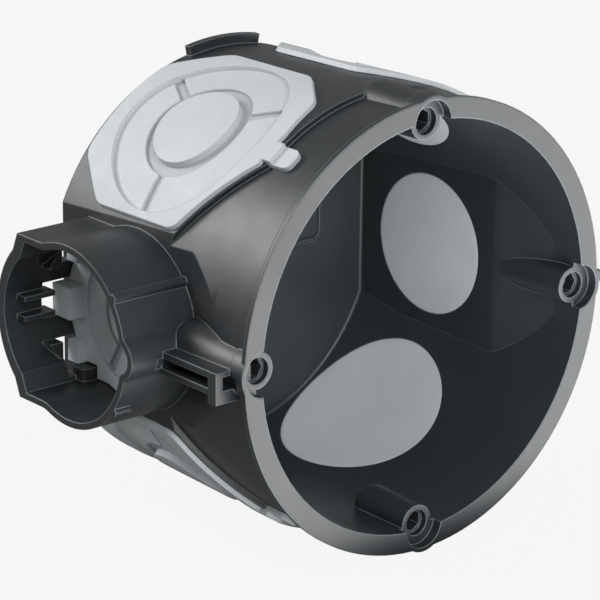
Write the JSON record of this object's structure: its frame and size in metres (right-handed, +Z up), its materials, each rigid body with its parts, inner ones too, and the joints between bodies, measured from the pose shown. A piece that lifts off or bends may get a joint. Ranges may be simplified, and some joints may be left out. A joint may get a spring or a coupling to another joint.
{
  "type": "flush back box",
  "caption": "Round flush back box for a wiring device: hard plastic cup with soft cable entry membranes, screw bosses in the rim and a side spigot that links it to the next box.",
  "frame": {"origin": "centre of the device screw circle, on the faces of the screw bosses, which is 1.6 mm behind the front of the rim", "axes": "the opening faces -Y and +Y runs into the wall; Z is up; X is to the right as seen from the front, so the spigot points to -X and the tongue to +X"},
  "size_m": [0.0807, 0.047, 0.068],
  "materials": {
    "hard_plastic": "satin",
    "soft_plastic": "matte"
  },
  "bodies": {
    "root": {"housing": "hard_plastic", "upper_left_membrane": "soft_plastic", "upper_right_membrane": "soft_plastic", "lower_left_membrane": "soft_plastic", "lower_right_membrane": "soft_plastic", "left_membrane": "soft_plastic", "right_membrane": "soft_plastic"}
  },
  "joints": []
}
